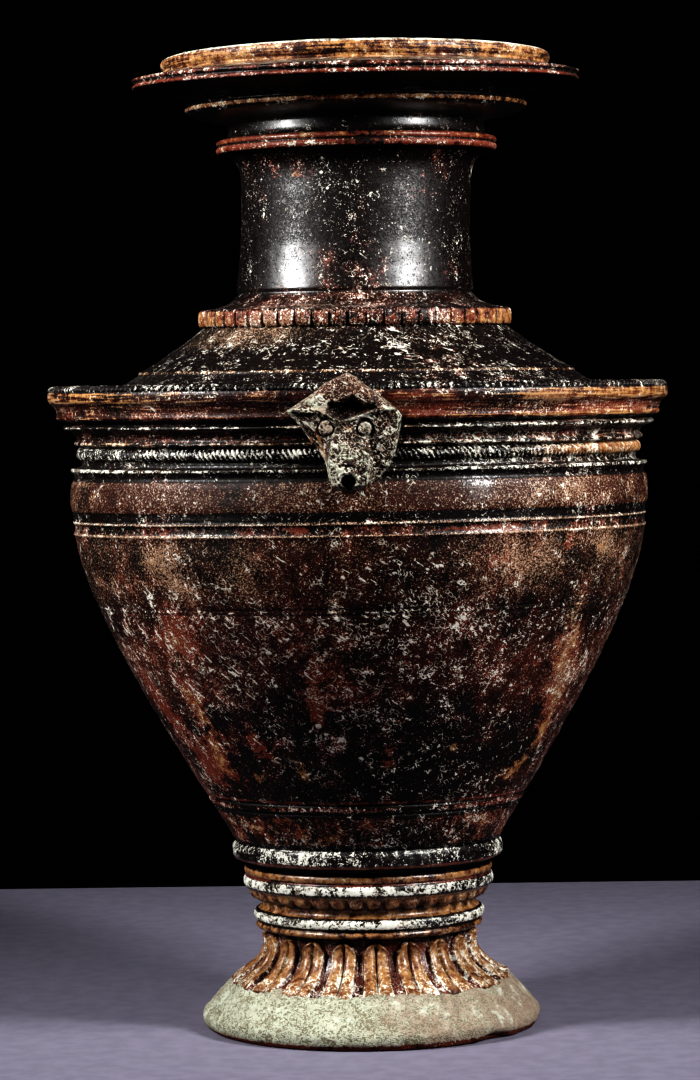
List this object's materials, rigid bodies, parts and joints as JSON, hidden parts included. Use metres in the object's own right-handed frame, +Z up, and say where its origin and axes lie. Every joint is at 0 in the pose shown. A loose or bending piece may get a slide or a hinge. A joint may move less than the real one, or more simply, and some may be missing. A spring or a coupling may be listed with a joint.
{
  "type": "pedestal jar",
  "caption": "Tall glazed stoneware baluster jar with a wide rim, ringed neck, shoulder flange with an applied animal head, tapering belly and a petalled spreading foot.",
  "frame": {"origin": "middle of the flat underside of the foot, on the turning axis", "axes": "+Z up along the turning axis, -Y towards the side with the applied animal head"},
  "size_m": [0.3194, 0.3324, 0.5],
  "materials": {
    "glaze": "dark brown glossy ash glaze, worn"
  },
  "bodies": {
    "root": {"PedestalJar": "glaze"}
  },
  "joints": []
}
